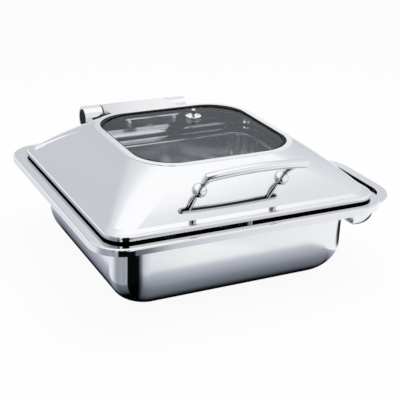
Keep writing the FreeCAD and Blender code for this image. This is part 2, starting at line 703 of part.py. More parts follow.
def handle():
    along, level = slope_seat(-1)
    bar = new_body("handle_bar", along=along, level=level, angle=FRONT_ANGLE)
    arch_radius = "(bar_half_span * bar_half_span / bar_arch_rise / 2 + bar_arch_rise / 2)"
    arch = new_sketch(bar, "YZ_Plane", up=f"handle_height - {arch_radius}")
    draw_circles(arch, "bar_radius", (("-handle_lean", arch_radius),))
    bent = bar.newObject("PartDesign::Revolution", "handle_bar_arch")
    bent.Profile = arch
    bent.ReferenceAxis = (arch, ["H_Axis"])
    bent.Midplane = True
    bind(bent, "Angle", f"2 * asin(bar_half_span / {arch_radius})")
    round_ends(bar, "bar_end_round")
    drop = f"handle_half_span * handle_half_span / {arch_radius} / 2"
    levels = (
        ("leg_foot_radius", "rosette_height", "0"),
        ("leg_waist_radius", "rosette_height + leg_waist_height", "0"),
        ("leg_knee_radius", "rosette_height + leg_knee_height", "0"),
        ("leg_neck_radius", "rosette_height + leg_neck_height", "-leg_neck_lean"),
        ("leg_top_radius", f"handle_height - {drop}", "-handle_lean"))
    for sign in ("-", ""):
        sections = []
        for radius, height, along_slope in levels:
            sketch = new_sketch(bar, out=height, right=f"{sign}handle_half_span", up=along_slope)
            sections.append(draw_circles(sketch, radius))
        loft(bar, sections)
    feet = (("-handle_half_span", "0"), ("handle_half_span", "0"))
    sketch = draw_circles(new_sketch(bar, out="rosette_height"), "handle_screw_radius + fit_gap", feet)
    pocket(bar, sketch, "leg_knee_height")
    for label, sign in (("handle_rosette_left", "-"), ("handle_rosette_right", "")):
        rosette = new_body(label, f"{sign}handle_half_span", along, level, angle=FRONT_ANGLE)
        pad(rosette, draw_circles(new_sketch(rosette), "rosette_radius"), "rosette_height")
        round_edges(rosette, "rosette_round", "rosette_height")
        pocket(rosette, draw_circles(new_sketch(rosette), "handle_screw_radius + fit_gap"), "rosette_height")
    inside = "(lid_gauge + seat_gap)"
    washers = new_body("handle_washers", along=along, level=level, angle=FRONT_ANGLE)
    turned(washers, washer_profile(
        "handle_screw_radius + fit_gap", "handle_washer_radius",
        f"-{inside} - handle_washer_thickness", f"-{inside}"), feet)
    screws = new_body("handle_screws", along=along, level=level, angle=f"{FRONT_ANGLE} + 180 deg")
    head_seat = f"({inside} + handle_washer_thickness)"
    profile = screw_profile(
        "handle_screw_radius", f"{head_seat} + rosette_height + leg_knee_height - screw_tail",
        "handle_screw_head_radius", "handle_screw_head_height")
    turned(screws, [(radius, f"{height} + {head_seat}") for radius, height in profile], feet)


def slope_place(level, depth):
    """Where a plane lying a depth out from the middle of the back slope crosses a level."""
    along, seat_level = slope_seat(1)
    return f"({along} + {depth} / sin({BACK_ANGLE}) - ({level} - {seat_level}) / tan({BACK_ANGLE}))"


def hinge_leaf():
    along, level = slope_seat(1)
    body = new_body("hinge_leaf")
    axis = (("hinge_along", HINGE_LEVEL),)
    pad(body, draw_circles(new_sketch(body, "YZ_Plane"), "barrel_radius", axis), "2 * leaf_half", both=True)
    web_top = f"({HINGE_LEVEL} + barrel_radius)"
    web_under = f"({web_top} - leaf_web)"
    middle = "leaf_flange_thickness / 2"
    web = draw_polygon(new_sketch(body, "YZ_Plane"), [
        (slope_place(web_top, middle), web_top), (slope_place(web_under, middle), web_under),
        ("hinge_along", web_under), ("hinge_along", web_top)])
    pad(body, web, "2 * leaf_half", both=True)
    low = f"({level} - leaf_flange_half * 0.8 * sin({BACK_ANGLE}))"
    for place in ("leaf_half - leaf_web / 2", "leaf_web / 2 - leaf_half"):
        gusset = draw_polygon(new_sketch(body, "YZ_Plane", out=place), [
            (slope_place(web_under, middle), web_under), (slope_place(low, middle), low),
            ("hinge_along - barrel_radius * 0.9", HINGE_LEVEL), ("hinge_along", f"{web_top} - leaf_web / 2")])
        pad(body, gusset, "leaf_web", both=True)
    flange = new_sketch(body, up=along, out=level, axis=Vector(1, 0, 0), angle=f"-{BACK_ANGLE}")
    draw_rounded(flange, "2 * leaf_half", "2 * leaf_flange_half", "leaf_flange_corner")
    pad(body, flange, "leaf_flange_thickness")
    bore = draw_circles(new_sketch(body, "YZ_Plane"), "barrel_bore_radius", axis)
    pocket(body, bore, "2 * leaf_half", both=True)
    holes = new_sketch(body, up=along, out=level, axis=Vector(1, 0, 0), angle=f"-{BACK_ANGLE}")
    draw_circles(holes, "screw_radius + fit_gap", LEAF_STUDS)
    pocket(body, holes, "leaf_flange_thickness")


def leaf_fasteners():
    along, level = slope_seat(1)
    inside = "(lid_gauge + seat_gap * 2)"

    def back_body(label, angle):
        return new_body(label, along=along, level=level, angle=angle)

    plate = back_body("leaf_backing_plate", f"-{BACK_ANGLE}")
    sketch = draw_rounded(
        new_sketch(plate, out=f"-{inside} - backing_thickness"),
        "2 * (leaf_stud_across + screw_margin)", "2 * screw_margin", "foot_corner")
    pad(plate, sketch, "backing_thickness")
    sketch = draw_circles(
        new_sketch(plate, out=f"-{inside} - backing_thickness"), "screw_radius + fit_gap", LEAF_STUDS)
    pocket(plate, sketch, "backing_thickness")
    nut_top = f"({inside} + backing_thickness)"
    nuts = back_body("leaf_cap_nuts", f"180 deg - {BACK_ANGLE}")
    pad(nuts, draw_hexagons(new_sketch(nuts, out=nut_top), "nut_flats", LEAF_STUDS), "nut_height")
    dome = f"({nut_top} + nut_height)"
    turned(nuts, [
        ("0", dome), ("nut_flats / 2", dome), ("nut_flats * 0.45", f"{dome} + cap_nut_dome * 0.5"),
        ("nut_flats * 0.25", f"{dome} + cap_nut_dome * 0.9"), ("0", f"{dome} + cap_nut_dome")], LEAF_STUDS)
    sketch = draw_circles(new_sketch(nuts, out=nut_top), "screw_radius + fit_gap", LEAF_STUDS)
    pocket(nuts, sketch, "nut_height + cap_nut_dome / 2")
    studs = back_body("leaf_studs", f"-{BACK_ANGLE}")
    stud_top, stud_end = "(leaf_flange_thickness - seat_gap)", f"(-{nut_top} - nut_height)"
    turned(studs, [
        ("0", stud_end), ("screw_radius", stud_end), ("screw_radius", stud_top), ("0", stud_top)], LEAF_STUDS)


def hinge_body(label, along_x="0"):
    """A body whose own upright axis is the hinge's axis, pointing right."""
    return new_body(label, along_x, "hinge_along", HINGE_LEVEL, axis=Vector(0, 1, 0), angle="90")


def hinge_inside():
    rod = hinge_body("hinge_axle")
    turned(rod, [
        ("0", f"-{PLUG_SEAT} + seat_gap"), ("axle_radius", f"-{PLUG_SEAT} + seat_gap"),
        ("axle_radius", f"{PLUG_SEAT} - seat_gap"), ("0", f"{PLUG_SEAT} - seat_gap")])
    cross = draw_circles(new_sketch(rod, "YZ_Plane"), "damper_pin_radius + fit_gap")
    pocket(rod, cross, "2 * rotor_radius", both=True)
    for label, start, end in (
            ("hinge_bush_left", "-leaf_half", "bush_length - leaf_half"),
            ("hinge_bush_right", "leaf_half - bush_length", "leaf_half")):
        turned(hinge_body(label), washer_profile(
            "axle_radius + running_gap", "barrel_bore_radius - fit_gap", start, end))
    housing = hinge_body("damper_housing")
    housing_bore = "(barrel_bore_radius - fit_gap - damper_wall)"
    turned(housing, washer_profile(housing_bore, "barrel_bore_radius - fit_gap", "-damper_half", "damper_half"))
    for turn in ("rib_angle", "rib_angle + 180"):
        rib = new_sketch(housing, out="-damper_half", angle=turn)
        draw_polygon(rib, [
            ("rotor_radius + free_gap", "-rib_width / 2"), (f"{housing_bore} + damper_wall / 2", "-rib_width / 2"),
            (f"{housing_bore} + damper_wall / 2", "rib_width / 2"), ("rotor_radius + free_gap", "rib_width / 2")])
        pad(housing, rib, "2 * damper_half")
    rotor = hinge_body("damper_rotor")
    rotor_half = "(damper_half - free_gap)"
    pad(rotor, draw_circles(new_sketch(rotor), "rotor_radius"), f"2 * {rotor_half}", both=True)
    vane = draw_cornered(
        new_sketch(rotor), "-vane_width / 2", "vane_width / 2", f"free_gap - {housing_bore}",
        f"{housing_bore} - free_gap", ["vane_width / 8"] * 4)
    pad(rotor, vane, f"2 * {rotor_half}", both=True)
    bore = draw_circles(new_sketch(rotor), "axle_radius + running_gap")
    pocket(rotor, bore, f"2 * {rotor_half}", both=True)
    cross = draw_circles(new_sketch(rotor, "YZ_Plane"), "damper_pin_radius + fit_gap")
    pocket(rotor, cross, "2 * rotor_radius", both=True)
    pin = new_body("damper_pin", along="hinge_along", level=HINGE_LEVEL)
    turned(pin, [
        ("0", "free_gap - rotor_radius"), ("damper_pin_radius", "free_gap - rotor_radius"),
        ("damper_pin_radius", "rotor_radius - free_gap"), ("0", "rotor_radius - free_gap")])
    caps = hinge_body("damper_end_caps")
    for start, end in (
            ("-damper_half - damper_cap_thickness", "-damper_half"),
            ("damper_half", "damper_half + damper_cap_thickness")):
        turned(caps, washer_profile("axle_radius + free_gap", "barrel_bore_radius - fit_gap", start, end))


def hinge_side(side, sign):
    """The fixed collar, bracket, end plug and backing plate on one side of the hinge."""
    angle = f"{sign}90"
    place = ("0", "hinge_along", HINGE_LEVEL)
    collar = new_body(f"hinge_collar_{side}", *place, axis=Vector(0, 1, 0), angle=angle)
    start, end = "(leaf_half + end_gap)", KNUCKLE_START
    turned(collar, [
        ("axle_radius + fit_gap", f"{end} - collar_wall"), ("barrel_radius - collar_wall", f"{end} - collar_wall"),
        ("barrel_radius - collar_wall", start), ("barrel_radius", start), ("barrel_radius", end),
        ("axle_radius + fit_gap", end)])
    plug = new_body(f"hinge_end_plug_{side}", *place, axis=Vector(0, 1, 0), angle=angle)
    plug_end = f"({PLUG_SEAT} + plug_length)"
    turned(plug, [
        ("0", PLUG_SEAT), ("plug_radius - fit_gap", PLUG_SEAT),
        ("plug_radius - fit_gap", f"{plug_end} - plug_edge"), ("plug_radius - fit_gap - plug_edge", plug_end),
        ("0", plug_end)])
    bracket(side, sign)
    near, far = f"{sign}foot_start {sign or '+'} backing_margin", f"{sign}(foot_end - backing_margin)"
    left, right = (far, near) if sign else (near, far)
    plate = new_body(f"bracket_backing_plate_{side}", level=f"{RIM_UNDER} - backing_thickness")
    box = (left, right, "foot_front + backing_margin", "rim_back - steel_gauge - rim_round")
    pad(plate, draw_cornered(new_sketch(plate), *box, ["foot_corner"] * 4), "backing_thickness")
    screws = [centre for centre in BRACKET_SCREWS if centre[0].startswith("-") == bool(sign)]
    pocket(plate, draw_circles(new_sketch(plate), "screw_radius + fit_gap", screws), "backing_thickness")


def bracket(side, sign):
    body = new_body(f"hinge_bracket_{side}")

    def span(start, end):
        """The lower X of a stretch on this side of the dish."""
        return f"-({end})" if sign else start

    axis = (("hinge_along", HINGE_LEVEL),)
    sketch = new_sketch(body, "YZ_Plane", out=span(KNUCKLE_START, KNUCKLE_END))
    pad(body, draw_circles(sketch, "barrel_radius", axis), "knuckle_length")
    web_start, web_end = f"({KNUCKLE_START} + web_margin)", f"({KNUCKLE_END} - web_margin)"
    foot_top = f"({RIM_TOP} + foot_thickness)"
    sketch = new_sketch(body, "YZ_Plane", out=span(web_start, web_end))
    draw_polygon(sketch, [
        ("web_front", f"{foot_top} - foot_thickness / 2"), ("web_back", f"{foot_top} - foot_thickness / 2"),
        ("hinge_along + barrel_radius * 0.3", f"{HINGE_LEVEL} - barrel_radius * 0.7"),
        ("hinge_along - barrel_radius * 0.8", f"{HINGE_LEVEL} - barrel_radius * 0.2")])
    pad(body, sketch, "knuckle_length - 2 * web_margin")
    left, right = ("-foot_end", "-foot_start") if sign else ("foot_start", "foot_end")
    back = "rim_back + free_gap + hook_thickness"
    sketch = new_sketch(body, out=RIM_TOP)
    draw_cornered(sketch, left, right, "foot_front", back, ["foot_corner"] * 4)
    pad(body, sketch, "foot_thickness")
    sketch = new_sketch(body, out=f"{RIM_TOP} - hook_depth")
    draw_cornered(sketch, left, right, "rim_back + free_gap", back, ["hook_thickness / 4"] * 4)
    pad(body, sketch, "hook_depth + foot_thickness / 2")
    sketch = new_sketch(body, "YZ_Plane", out=span(KNUCKLE_START, KNUCKLE_END))
    pocket(body, draw_circles(sketch, "axle_radius + running_gap", axis), "knuckle_length")
    sketch = new_sketch(body, "YZ_Plane", out=span(PLUG_SEAT, KNUCKLE_END))
    pocket(body, draw_circles(sketch, "plug_radius", axis), "plug_length + plug_inset")
    screws = [centre for centre in BRACKET_SCREWS if centre[0].startswith("-") == bool(sign)]
    sketch = draw_circles(new_sketch(body, out=RIM_TOP), "screw_radius + fit_gap", screws)
    pocket(body, sketch, "foot_thickness")
    sketch = new_sketch(body, "XZ_Plane", out="-hinge_along - barrel_radius")
    draw_circles(sketch, "screw_radius + fit_gap", ((f"{sign}{KNUCKLE_MIDDLE}", HINGE_LEVEL),))
    pocket(body, sketch, "barrel_radius")


def bracket_fasteners():
    screws = new_body("bracket_screws", level=f"{RIM_TOP} + foot_thickness")
    length = "foot_thickness + steel_gauge + backing_thickness + nut_height + screw_tail"
    turned(screws, screw_profile("screw_radius", length, "screw_head_radius", "screw_head_height"), BRACKET_SCREWS)
    nuts = new_body("bracket_nuts", level=f"{RIM_UNDER} - backing_thickness - nut_height")
    pad(nuts, draw_hexagons(new_sketch(nuts), "nut_flats", BRACKET_SCREWS), "nut_height")
    pocket(nuts, draw_circles(new_sketch(nuts), "screw_radius + fit_gap", BRACKET_SCREWS), "nut_height")
    grubs = new_body("axle_grub_screws", along="hinge_along", level=HINGE_LEVEL, angle="-90")
    tip, tail = "(axle_radius + seat_gap)", "(barrel_radius - grub_inset)"
    centres = ((f"-{KNUCKLE_MIDDLE}", "0"), (KNUCKLE_MIDDLE, "0"))
    turned(grubs, [
        ("0", tip), ("screw_radius", tip), ("screw_radius", tail), ("grub_socket_radius", tail),
        ("grub_socket_radius", f"{tail} - grub_socket_depth"), ("0", f"{tail} - grub_socket_depth")], centres)


def lid_bumpers():
    body = new_body("lid_bumpers", level=RIM_TOP)
    bulb_top = "(-steel_gauge - fit_gap)"
    turned(body, [
        ("0", f"{bulb_top} - bumper_bulb_height"), ("bumper_stem_radius", f"{bulb_top} - bumper_bulb_height"),
        ("bumper_bulb_radius", bulb_top), ("bumper_stem_radius", bulb_top), ("bumper_stem_radius", "0"),
        ("bumper_radius", "0"), ("bumper_radius", "lid_gap - seat_gap"), ("0", "lid_gap - seat_gap")], BUMPERS)


def spoon_rest():
    tray = new_body("spoon_rest_tray", "tray_inner", "tray_along", "0")

    def half_moon(sketch, sides, corner, end_corner):
        """A box with two large corners away from the pan."""
        return draw_cornered(sketch, *sides, [end_corner, corner, corner, end_corner])

    def outline(sketch, inset, corner):
        bowl = (
            f"tray_flange + {inset}", f"tray_outer - tray_inner - bowl_flange - {inset}",
            f"bowl_end_flange - tray_half + {inset}", f"tray_half - bowl_end_flange - {inset}")
        return half_moon(sketch, bowl, corner, "bowl_end_corner")

    edge = ("0", "tray_outer - tray_inner", "-tray_half", "tray_half")
    sketch = half_moon(new_sketch(tray, out=f"{TRAY_TOP} - steel_gauge"), edge, "tray_corner", "tray_end_corner")
    pad(tray, sketch, "steel_gauge")
    draw_sheet(tray, outline, {
        "gauge": "steel_gauge", "mouth_round": "tray_mouth_round", "bottom_round": "tray_round",
        "top": TRAY_TOP, "floor": f"({TRAY_TOP} - tray_depth)", "draft": "tray_draft",
        "corner": "bowl_corner", "floor_corner": "bowl_floor_corner"})
    local = (("tray_screw_across", "-tray_screw_half_pitch"), ("tray_screw_across", "tray_screw_half_pitch"))
    sketch = draw_circles(new_sketch(tray, out=f"{TRAY_TOP} - steel_gauge"), "tray_screw_radius + fit_gap", local)
    pocket(tray, sketch, "steel_gauge")
    hanger = new_body("spoon_rest_hanger", along="tray_along")
    leg_top = f"({TRAY_TOP} + hanger_thickness)"
    weld_under = f"({RIM_UNDER} - hanger_thickness)"
    web_far = "(tray_inner + hanger_foot_width)"
    web = f"({web_far} - hanger_thickness)"
    weld_end = f"({web_far} - hanger_weld_width)"
    for centre in ("-tray_screw_half_pitch", "tray_screw_half_pitch"):
        start = f"-({centre}) - hanger_length / 2"
        sketch = draw_polygon(new_sketch(hanger, "XZ_Plane", out=start), [
            ("tray_inner", TRAY_TOP), (web_far, TRAY_TOP), (web_far, RIM_UNDER), (weld_end, RIM_UNDER),
            (weld_end, weld_under), (web, weld_under), (web, leg_top), ("tray_inner", leg_top)])
        pad(hanger, sketch, "hanger_length")
    centres = tuple((f"tray_inner + {right}", along) for right, along in local)
    sketch = draw_circles(new_sketch(hanger, out=TRAY_TOP), "tray_screw_radius + fit_gap", centres)
    pocket(hanger, sketch, "hanger_thickness")
    nuts = new_body("spoon_rest_nuts", along="tray_along", level=leg_top)
    pad(nuts, draw_hexagons(new_sketch(nuts), "tray_nut_flats", centres), "tray_nut_height")
    pocket(nuts, draw_circles(new_sketch(nuts), "tray_screw_radius + fit_gap", centres), "tray_nut_height")
    screws = new_body("spoon_rest_screws", along="tray_along", level=f"{TRAY_TOP} - steel_gauge", angle="180")
    profile = screw_profile(
        "tray_screw_radius", "steel_gauge + hanger_thickness + tray_nut_height",
        "tray_screw_head_radius", "tray_screw_head_height")
    turned(screws, profile, centres)


def write_pieces():
    """Check every object and every piece, then write each piece under its own name."""
    doc.recompute()
    failed = [item.Name for item in doc.Objects if "Invalid" in item.State or "Error" in item.State]
    for piece in pieces:
        shape = piece.Shape
        if shape.isNull() or not shape.isValid() or not shape.Solids:
            failed.append(piece.Label)
    if failed:
        raise RuntimeError("failed: " + ", ".join(failed))
    os.makedirs("parts", exist_ok=True)
    for piece in pieces:
        piece.Shape.exportStep(os.path.join("parts", piece.Label + ".step"))
        box = piece.Shape.BoundBox
        print(piece.Label, len(piece.Shape.Solids), "solids", round(piece.Shape.Volume), "mm3", box)


# Where the fasteners stand, seen from above; the leaf studs are in the flange's own plane
SCREW_LINE = "(foot_front + rim_back) / 2"
BRACKET_SCREWS = tuple(
    (f"{sign}({place})", SCREW_LINE)
    for sign in ("-", "")
    for place in ("foot_start + screw_margin", "foot_end - screw_margin"))
LEAF_STUDS = (("-leaf_stud_across", "0"), ("leaf_stud_across", "0"))
HEM_LINE = "(lip_width / 2 - hem_width / 2)"
BUMPERS = (
    ("front_bumper_across", f"-{HEM_LINE}"), ("-back_bumper_across", HEM_LINE), ("back_bumper_across", HEM_LINE))

fill_sheet()
water_pan()
heating_base()
food_pan()
lid_shell()
window()
steam_vent()
handle()
hinge_leaf()
leaf_fasteners()
hinge_inside()
hinge_side("left", "-")
hinge_side("right", "")
bracket_fasteners()
lid_bumpers()
spoon_rest()
write_pieces()
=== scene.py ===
import json
import math

import bpy
from mathutils import Matrix, Vector

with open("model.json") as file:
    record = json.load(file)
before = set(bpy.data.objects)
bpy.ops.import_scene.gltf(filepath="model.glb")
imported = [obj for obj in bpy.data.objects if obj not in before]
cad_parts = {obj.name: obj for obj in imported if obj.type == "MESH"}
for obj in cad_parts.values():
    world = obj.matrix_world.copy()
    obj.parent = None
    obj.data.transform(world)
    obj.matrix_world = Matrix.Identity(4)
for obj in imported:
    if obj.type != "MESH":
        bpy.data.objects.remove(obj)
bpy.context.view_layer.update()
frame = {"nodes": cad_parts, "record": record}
nodes = frame["nodes"]


# Materials

def new_material(name):
    """A material with its principled shader, and the tools to add nodes to it."""
    material = bpy.data.materials.new(name)
    material.use_nodes = True
    tree = material.node_tree
    shader = tree.nodes["Principled BSDF"]
    return material, tree, shader


def add_node(tree, kind, **inputs):
    """A node with some of its sockets set."""
    node = tree.nodes.new(kind)
    for name, value in inputs.items():
        node.inputs[name].default_value = value
    return node


def object_place(tree):
    return tree.nodes.new("ShaderNodeTexCoord").outputs["Object"]


def noise(tree, scale, detail=3.0, roughness=0.5, stretch=None):
    """Noise in the object's own space, drawn out along an axis where stretch says so."""
    texture = add_node(tree, "ShaderNodeTexNoise", Scale=scale, Detail=detail, Roughness=roughness)
    place = object_place(tree)
    if stretch:
        mapping = tree.nodes.new("ShaderNodeMapping")
        mapping.inputs["Scale"].default_value = stretch
        tree.links.new(place, mapping.inputs["Vector"])
        place = mapping.outputs["Vector"]
    tree.links.new(place, texture.inputs["Vector"])
    return texture.outputs["Fac"]


def spread(tree, source, low, high):
    """A noise's middle range, 0.25 to 0.75, carried to low to high."""
    node = tree.nodes.new("ShaderNodeMapRange")
    node.inputs["From Min"].default_value = 0.25
    node.inputs["From Max"].default_value = 0.75
    node.inputs["To Min"].default_value = low
    node.inputs["To Max"].default_value = high
    tree.links.new(source, node.inputs["Value"])
    return node.outputs["Result"]


def add_bump(tree, shader, height, strength, distance):
    """A bump from a height of 0 to 1, over a distance in metres."""
    bump = tree.nodes.new("ShaderNodeBump")
    bump.inputs["Strength"].default_value = strength
    bump.inputs["Distance"].default_value = distance
    tree.links.new(height, bump.inputs["Height"])
    tree.links.new(bump.outputs["Normal"], shader.inputs["Normal"])


def polished_steel():
    """Mirror steel with a faint haze and very slow waves."""
    material, tree, shader = new_material("polished_steel")
    shader.inputs["Metallic"].default_value = 1.0
    shader.inputs["Base Color"].default_value = (0.875, 0.88, 0.89, 1)
    haze = spread(tree, noise(tree, scale=14.0, detail=4.0), low=0.02, high=0.045)
    tree.links.new(haze, shader.inputs["Roughness"])
    add_bump(tree, shader, noise(tree, scale=9.0, detail=2.0), strength=0.012, distance=0.004)
    return material


def satin_steel():
    """Steel with a fine grain along the object's x axis."""
    material, tree, shader = new_material("satin_steel")
    shader.inputs["Metallic"].default_value = 1.0
    shader.inputs["Base Color"].default_value = (0.72, 0.73, 0.74, 1)
    grain = noise(tree, scale=260.0, detail=4.0, roughness=0.6, stretch=(0.05, 1.0, 1.0))
    tree.links.new(spread(tree, grain, low=0.08, high=0.14), shader.inputs["Roughness"])
    add_bump(tree, shader, grain, strength=0.03, distance=0.0003)
    return material


def clear_glass():
    """Thin glass: almost all of it is open, the rest is a mirror."""
    material, tree, shader = new_material("clear_glass")
    shader.inputs["Base Color"].default_value = (0.84, 0.91, 1.0, 1)
    shader.inputs["Metallic"].default_value = 1.0
    shader.inputs["Alpha"].default_value = 0.11
    smears = spread(tree, noise(tree, scale=20.0), low=0.0, high=0.02)
    tree.links.new(smears, shader.inputs["Roughness"])
    return material


def moulded(name, colour, low, high, gloss=0.5):
    """A moulded rubber or plastic with a fine grain, its roughness between low and high."""
    material, tree, shader = new_material(name)
    shader.inputs["Base Color"].default_value = (*colour, 1)
    shader.inputs["Specular IOR Level"].default_value = gloss
    grain = noise(tree, scale=900.0, detail=2.0)
    tree.links.new(spread(tree, noise(tree, scale=30.0), low, high), shader.inputs["Roughness"])
    add_bump(tree, shader, grain, strength=0.15, distance=0.0002)
    return material


def clear_silicone():
    """Milky silicone that lets some light through."""
    material, tree, shader = new_material("clear_silicone")
    shader.inputs["Base Color"].default_value = (0.78, 0.79, 0.79, 1)
    shader.inputs["Transmission Weight"].default_value = 0.35
    tree.links.new(spread(tree, noise(tree, scale=60.0), low=0.25, high=0.4), shader.inputs["Roughness"])
    return material


def plain_metal(name, colour, low, high):
    """A dull metal with a fine mottle, its roughness between low and high."""
    material, tree, shader = new_material(name)
    shader.inputs["Metallic"].default_value = 1.0
    shader.inputs["Base Color"].default_value = (*colour, 1)
    mottle = spread(tree, noise(tree, scale=120.0, detail=4.0), low, high)
    tree.links.new(mottle, shader.inputs["Roughness"])
    add_bump(tree, shader, noise(tree, scale=400.0), strength=0.06, distance=0.0003)
    return material


MATERIALS = {
    "polished_steel": polished_steel(),
    "satin_steel": satin_steel(),
    "base_aluminium": plain_metal("base_aluminium", (0.8, 0.8, 0.8), low=0.3, high=0.45),
    "clear_glass": clear_glass(),
    "black_seal": moulded("black_seal", (0.008, 0.008, 0.009), low=0.5, high=0.65, gloss=0.15),
    "clear_silicone": clear_silicone(),
    "black_plastic": moulded("black_plastic", (0.005, 0.005, 0.006), low=0.35, high=0.5, gloss=0.03),
    "zinc_steel": plain_metal("zinc_steel", (0.74, 0.74, 0.75), low=0.12, high=0.25),
    "bearing_plastic": moulded("bearing_plastic", (0.8, 0.78, 0.7), low=0.3, high=0.45),
}
# Every CAD node gets the material that its row in the record names.
SLOTS = {row["node"]: row["material_slot"] for row in frame["record"]["subparts"]}
for name, piece in nodes.items():
    piece.data.materials.clear()
    piece.data.materials.append(MATERIALS[SLOTS[name]])


# Node helpers for the stage and the light

def math_node(tree, operation, *sources):
    """A math node fed by sockets or by plain numbers."""
    node = tree.nodes.new("ShaderNodeMath")
    node.operation = operation
    for place, source in enumerate(sources):
        if isinstance(source, (int, float)):
            node.inputs[place].default_value = source
        else:
            tree.links.new(source, node.inputs[place])
    return node.outputs[0]


def soft_step(tree, source, start, end):
    """Rises smoothly from 0 at start to 1 at end, which may be the lower of the two."""
    node = tree.nodes.new("ShaderNodeMapRange")
    node.interpolation_type = "SMOOTHSTEP"
    node.inputs["From Min"].default_value = start
    node.inputs["From Max"].default_value = end
    tree.links.new(source, node.inputs["Value"])
    return node.outputs["Result"]


def blend_colours(tree, kind, factor, first, second):
    """The second colour over the first, by a blend type and a factor."""
    node = tree.nodes.new("ShaderNodeMix")
    node.data_type = "RGBA"
    node.blend_type = kind
    if isinstance(factor, (int, float)):
        node.inputs["Factor"].default_value = factor
    else:
        tree.links.new(factor, node.inputs["Factor"])
    tree.links.new(first, node.inputs["A"])
    tree.links.new(second, node.inputs["B"])
    return node.outputs["Result"]


def grey(level):
    """A studio grey, a little cooler the darker it is."""
    dark = max(1 - level, 0)
    return level * (1 - 0.1 * dark), level, level * (1 + 0.2 * dark), 1


def grey_ramp(tree, source, low, high, stops):
    """The studio grey that the stops give for a source between low and high."""
    place = tree.nodes.new("ShaderNodeMapRange")
    place.inputs["From Min"].default_value = low
    place.inputs["From Max"].default_value = high
    tree.links.new(source, place.inputs["Value"])
    ramp = tree.nodes.new("ShaderNodeValToRGB")
    elements = ramp.color_ramp.elements
    while len(elements) < len(stops):
        elements.new(0.5)
    for element, (value, level) in zip(elements, stops):
        element.position = (value - low) / (high - low)
        element.color = grey(level)
    tree.links.new(place.outputs["Result"], ramp.inputs["Fac"])
    return ramp.outputs["Color"]


# The studio that polished metal mirrors. Its levels go from 0, black, to 1, white, and a little above.
# It isn't a real room: the levels here and in the floor's lists were set by comparing how bright
# the render's metal and the photo's are at single points and along some rows and columns.

# What stands round the object, by compass turn in degrees from the front (negative is to the left).
ROUND = (
    # grey at the back left and the left
    (-180, 0.64), (-165, 0.66), (-110, 0.62), (-86, 0.4), (-54, 0.37),
    # a dark flag, and a light edge beside it
    (-52, 0.12), (-43, 0.12), (-41, 0.97), (-31, 0.97),
    # the dark opening in front
    (-29, 0.004), (3, 0.004),
    # a large soft light from the right front to the right
    (6, 0.9), (40, 0.97), (75, 0.9), (120, 0.8),
    # a bright panel behind, in grey
    (140, 0.66), (143.5, 0.73), (148, 0.91), (151, 0.96), (157, 0.97), (160.5, 0.72), (166, 0.64),
    (180, 0.64))
# The bright strip low down at the back left: how far rays point up where it ends and where it is
# full, its turn where it starts and where it is full, and its level.
GLINT_RISE = (0.29, 0.2)
GLINT_TURN = (-115.0, -135.0)
GLINT_LEVEL = 1.1
# How far rays point up where the ceiling has taken over, and where what stands round still shows whole.
CEILING_RISE = (0.8, 0.42)
# The ceiling, by how far a ray points up.
OVERHEAD = (
    (0, 0.62), (0.35, 0.7), (0.5, 0.75), (0.65, 0.8), (0.79, 0.86), (0.83, 0.93), (0.87, 1.04), (0.9, 1.09),
    (1, 1.1))
# The number of reflections after which no light is left, and the number up to which it is whole.
SECOND_HAND = (3.2, 1.4)
# How strong the studio is in what shows through the window.
WINDOW_LIGHT = 1.2
# Faces of glass and lamp crossed by light that has stayed outside (fewer than this), and by light
# that has gone in through the window and out again (more than this).
CROSSED_OUTSIDE = 1.5
CROSSED_WINDOW = 3.5

# The floor that polished metal mirrors, a painted reflection: a glow with painted shade and shadow. The
# camera itself sees a plain pale floor instead.

# Its levels, by compass turn about a point near the body's front left corner: painted shade, with grey
# patches where the floor would be shaded and a black strip.
SHADE_CENTRE = (-0.14, -0.13)
FLOOR_ROUND = (
    (-180, 0.8), (-160, 0.83), (-129, 0.87), (-122, 0.76), (-113, 0.55), (-104, 0.36), (-92, 0.36),
    (-80, 0.4), (-70, 0.34), (-66, 0.42), (-61, 0.42), (-58, 0.003), (-19, 0.003), (-9, 0.22), (-2, 0.6),
    (10, 0.74), (22, 0.85), (40, 0.97), (75, 0.97), (180, 0.8))
# Further out the same pattern is turned: by how many degrees, and from where to where in metres.
FLOOR_TURN = 25.0
FLOOR_TURN_REACH = (0.25, 0.31)
# The painted shadow round the body, where the rim would shade the floor: the half sizes of the walls it
# starts from, how much faster it ends beside the side walls, and its levels by distance from the walls in
# metres.
BODY_HALF = (0.175, 0.1605)
SIDE_RATE = 2.6
FLOOR_SHADE = (
    (-0.05, 0.002), (-0.021, 0.004), (-0.013, 0.06), (-0.005, 0.13), (0, 0.155), (0.01, 0.19), (0.03, 0.265),
    (0.05, 0.35), (0.07, 0.4), (0.09, 0.455), (0.1, 0.51), (0.108, 0.6), (0.115, 0.74), (0.12, 0.87),
    (0.128, 0.96), (0.15, 1.0))
# The painted shadow on the floor beside the spoon rest, where the rest would shade it: its middle, its half
# axes, where in them it ends and is full, and its level.
REST_SHADE = (0.31, -0.03)
REST_REACH = (0.09, 0.12)
REST_FADE = (1.5, 0.5)
REST_LEVEL = 0.02

# What isn't mirrored: the world's soft light, the floor's colour, how far it reaches in metres, and
# the share of plain white in what the camera sees of it. The rest of that shows the object's shadow.
SOFT_LIGHT = 0.4
FLOOR_COLOUR = (0.9, 0.9, 0.9, 1)
FLOOR_REACH = 6.0
FLOOR_SHARE = 0.94


def compass_turn(tree, across, along):
    """Degrees from the front, positive to the right."""
    turn = math_node(tree, "ARCTAN2", across, math_node(tree, "MULTIPLY", along, -1.0))
    return math_node(tree, "DEGREES", turn)


